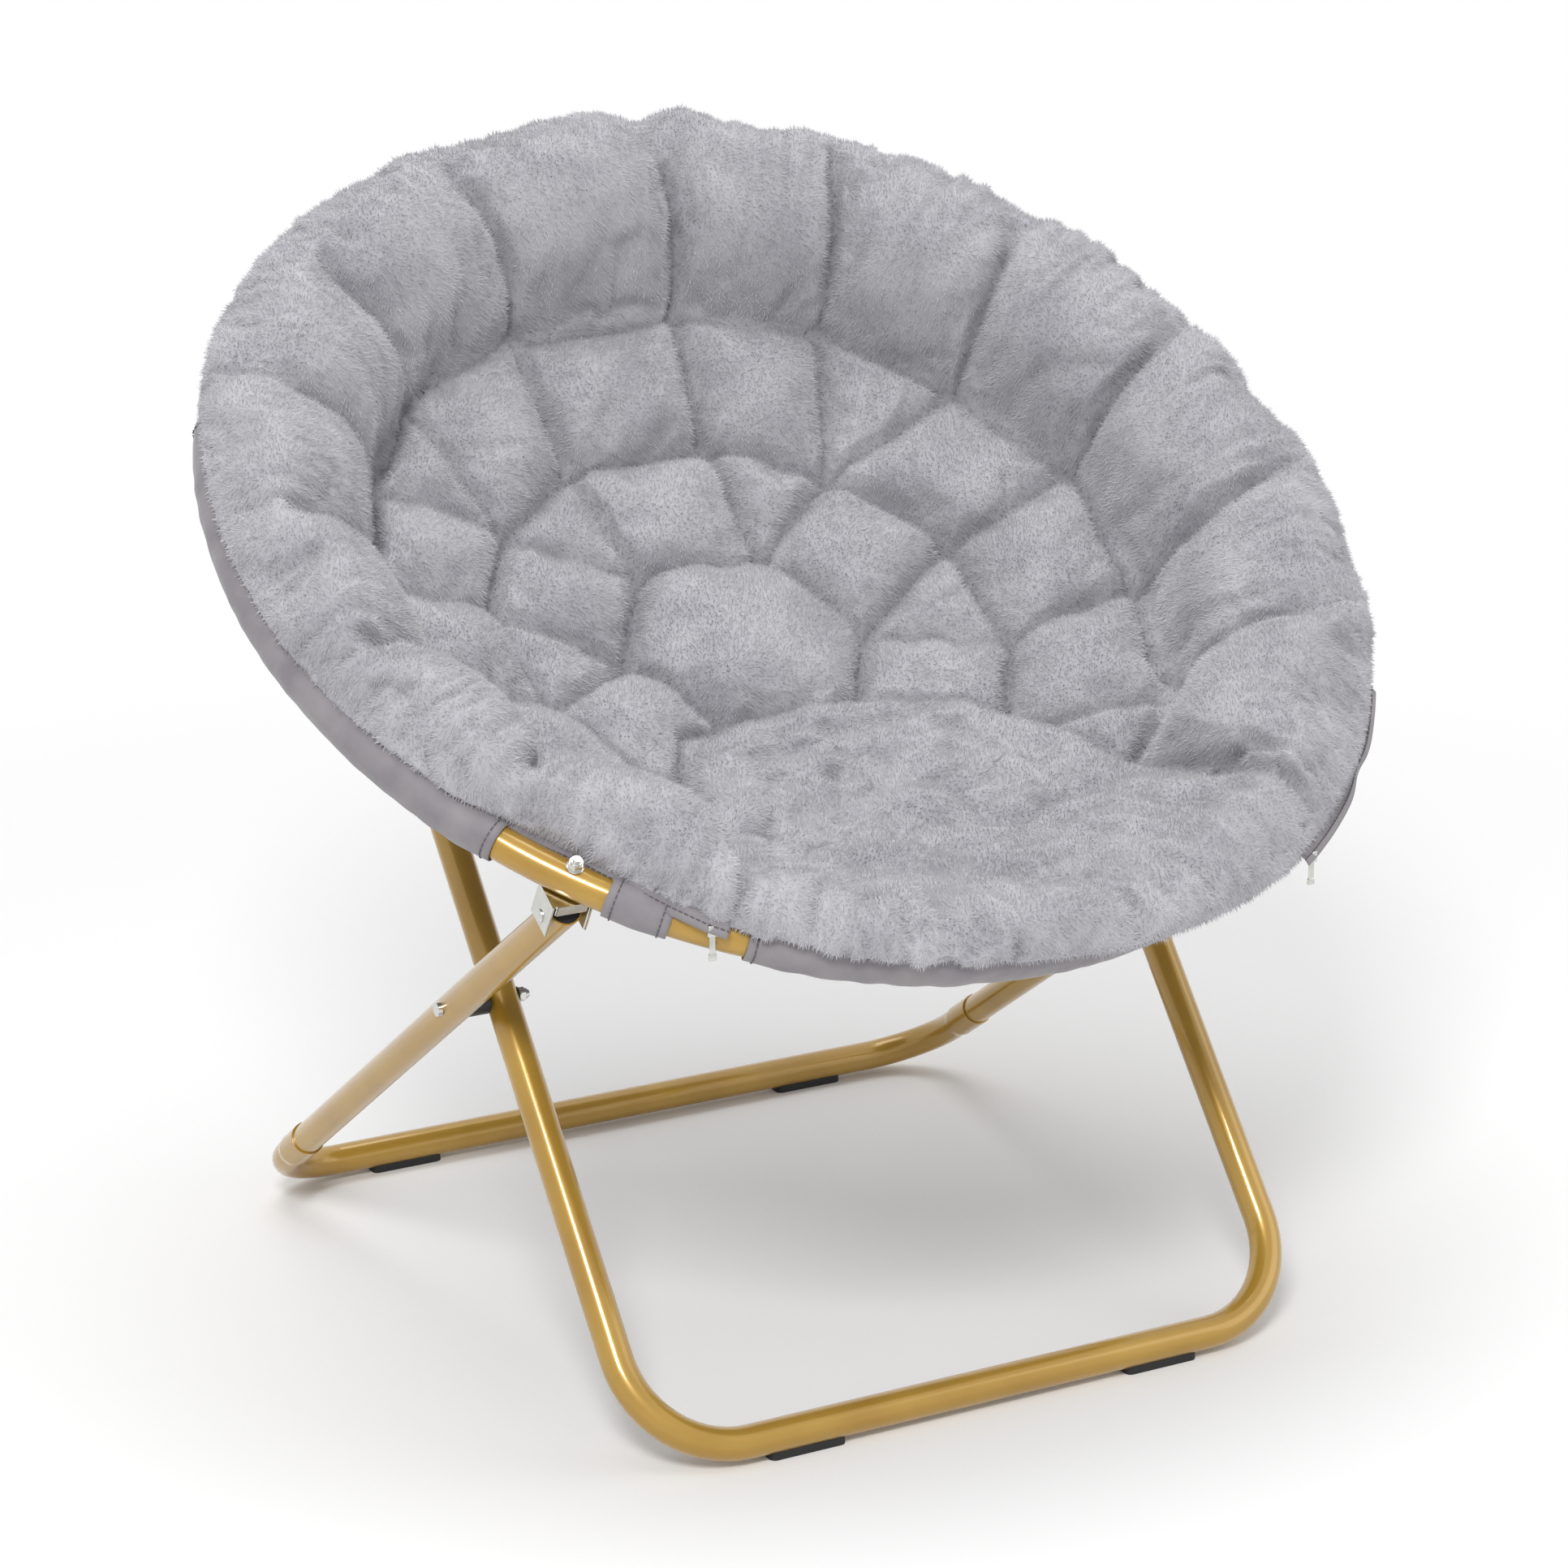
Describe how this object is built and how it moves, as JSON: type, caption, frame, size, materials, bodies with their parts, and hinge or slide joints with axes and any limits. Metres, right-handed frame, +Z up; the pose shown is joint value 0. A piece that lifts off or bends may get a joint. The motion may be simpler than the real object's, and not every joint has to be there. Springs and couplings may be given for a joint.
{
  "type": "folding saucer chair",
  "caption": "Round folding chair: a tilted seat ring with a deep plush bowl cushion on two crossed U-shaped tube leg frames that fold with the hinged ring.",
  "frame": {"origin": "on the floor, below the middle of the open seat ring, which is also the bottom centre of the bounding box", "axes": "+X to the right seen from the front, +Y to the back, +Z up; the ring rises towards +Y"},
  "size_m": [0.9232, 0.798, 0.8777],
  "materials": {
    "gold_paint": "gold gloss powder coat",
    "zinc_plate": "zinc plated pressed steel",
    "bright_steel": "bright zinc plated fasteners",
    "black_plastic": "black moulded plastic",
    "black_rubber": "black rubber",
    "taupe_cloth": "taupe grey woven polyester",
    "grey_plush": "cool grey short faux fur"
  },
  "bodies": {
    "front_legs": {"front_leg_frame": "gold_paint", "front_foot_pads": "black_rubber", "front_leg_plugs": "black_plastic", "cross_bolt_ends": "bright_steel", "cross_washers": "bright_steel", "cross_nuts": "bright_steel"},
    "ring_rear": {"ring_rear_tube": "gold_paint", "rear_bracket_left": "zinc_plate", "rear_bracket_right": "zinc_plate", "rear_bracket_rivets": "bright_steel", "rear_bracket_bolts": "bright_steel", "rear_bracket_washers": "bright_steel", "rear_bracket_nuts": "bright_steel", "hinge_clevis_left": "zinc_plate", "hinge_clevis_right": "zinc_plate", "hinge_pins": "bright_steel", "rear_corner_sleeves": "taupe_cloth", "rear_sleeve": "taupe_cloth"},
    "ring_front": {"ring_front_tube": "gold_paint", "front_bracket_left": "zinc_plate", "front_bracket_right": "zinc_plate", "front_bracket_rivets": "bright_steel", "front_bracket_bolts": "bright_steel", "front_bracket_washers": "bright_steel", "front_bracket_nuts": "bright_steel", "hinge_tongue_left": "zinc_plate", "hinge_tongue_right": "zinc_plate", "side_sleeve_left": "taupe_cloth", "side_sleeve_right": "taupe_cloth", "front_sleeve": "taupe_cloth", "strap_loops": "taupe_cloth", "seat_sling": "taupe_cloth", "cushion": "grey_plush"},
    "rear_legs": {"rear_floor_bar": "gold_paint", "rear_leg_left": "gold_paint", "rear_leg_right": "gold_paint", "rear_leg_plugs": "black_plastic", "rear_foot_pads": "black_rubber", "cross_bolts": "bright_steel", "cross_spacers": "black_plastic"}
  },
  "joints": [
    {"name": "rear bracket pivot", "type": "hinge", "parent": "front_legs", "child": "ring_rear", "pos_m": [0, 0.32506, 0.74578], "axis": [-1, 0, 0], "range_deg": [0, 135.1]},
    {"name": "ring hinge", "type": "hinge", "parent": "ring_rear", "child": "ring_front", "pos_m": [0, 0.18406, 0.70253], "axis": [1, 0, 0], "range_deg": [0, 151], "deforming": ["cushion", "seat_sling"]},
    {"name": "front bracket pivot", "type": "hinge", "parent": "ring_front", "child": "rear_legs", "pos_m": [0, -0.24945, 0.42758], "axis": [-1, 0, 0], "range_deg": [0, 101.7]}
  ],
  "couplings": [
    {"joint": "rear bracket pivot", "follows": "ring hinge", "ratio": 0.8941},
    {"joint": "front bracket pivot", "follows": "ring hinge", "ratio": 0.6729}
  ]
}
